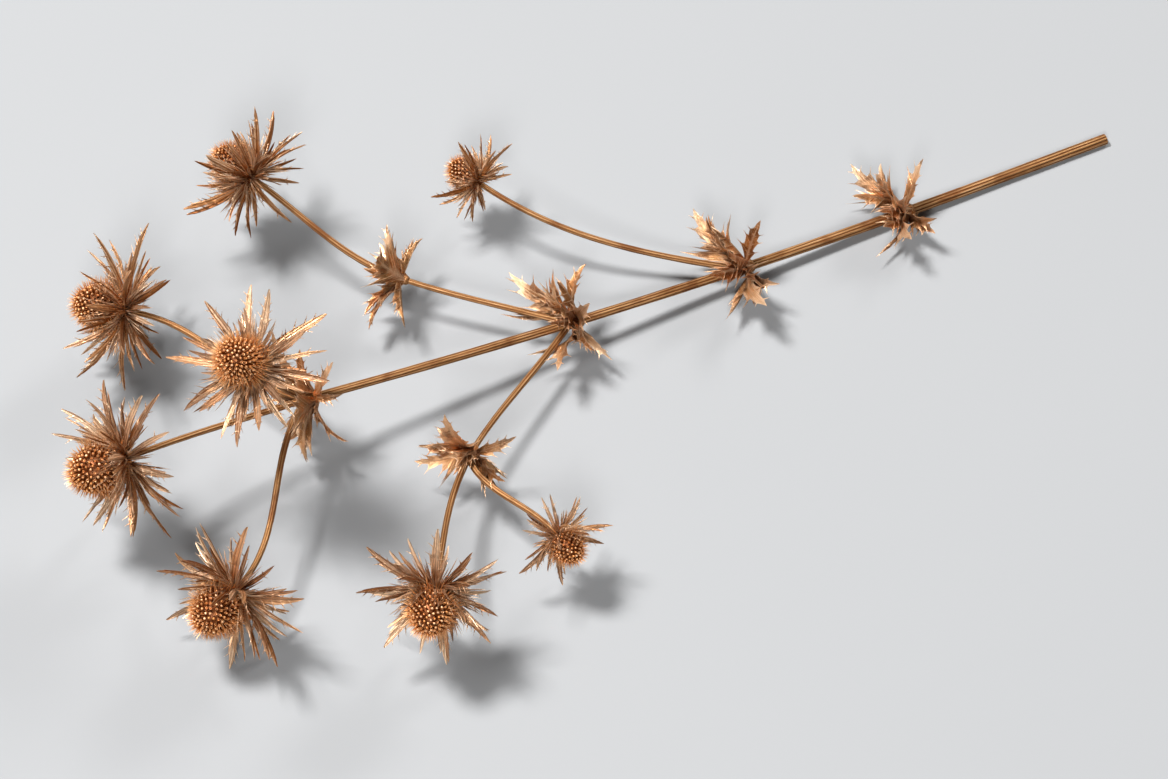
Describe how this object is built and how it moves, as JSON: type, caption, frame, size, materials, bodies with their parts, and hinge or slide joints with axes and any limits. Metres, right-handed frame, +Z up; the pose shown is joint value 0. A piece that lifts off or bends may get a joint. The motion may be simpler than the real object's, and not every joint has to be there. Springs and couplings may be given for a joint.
{
  "type": "sea holly stem",
  "caption": "Cut stem of dried, gold-painted sea holly lying on its side: ribbed branching stem, whorls of spiny leaves, and egg-shaped flower heads in collars of spiny bracts.",
  "frame": {"origin": "on the surface that the stem lies on, under the middle of its box", "axes": "+X along the stem from its cut end to its leading head, +Y to the left seen from the cut end, +Z up"},
  "size_m": [0.5708, 0.3172, 0.1385],
  "materials": {
    "stem_gilt": "dried ribbed stalk under a thin satin coat of dull gold paint",
    "leaf_gilt": "dried stiff leaf under satin gold paint, darker brown in the folds",
    "bract_gilt": "dried stiff bract under satin pale champagne-gold paint",
    "floret_copper": "dried florets with pale gold tips and copper-brown hollows"
  },
  "bodies": {
    "root": {"stem": "stem_gilt", "leaves_1": "leaf_gilt", "leaves_2": "leaf_gilt", "leaves_3": "leaf_gilt", "leaves_4": "leaf_gilt", "leaves_5": "leaf_gilt", "leaves_6": "leaf_gilt", "head_1_bracts": "bract_gilt", "head_1_florets": "floret_copper", "head_2_bracts": "bract_gilt", "head_2_florets": "floret_copper", "head_3_bracts": "bract_gilt", "head_3_florets": "floret_copper", "head_4_bracts": "bract_gilt", "head_4_florets": "floret_copper", "head_5_bracts": "bract_gilt", "head_5_florets": "floret_copper", "head_6_bracts": "bract_gilt", "head_6_florets": "floret_copper", "head_7_bracts": "bract_gilt", "head_7_florets": "floret_copper", "head_8_bracts": "bract_gilt", "head_8_florets": "floret_copper"}
  },
  "joints": []
}
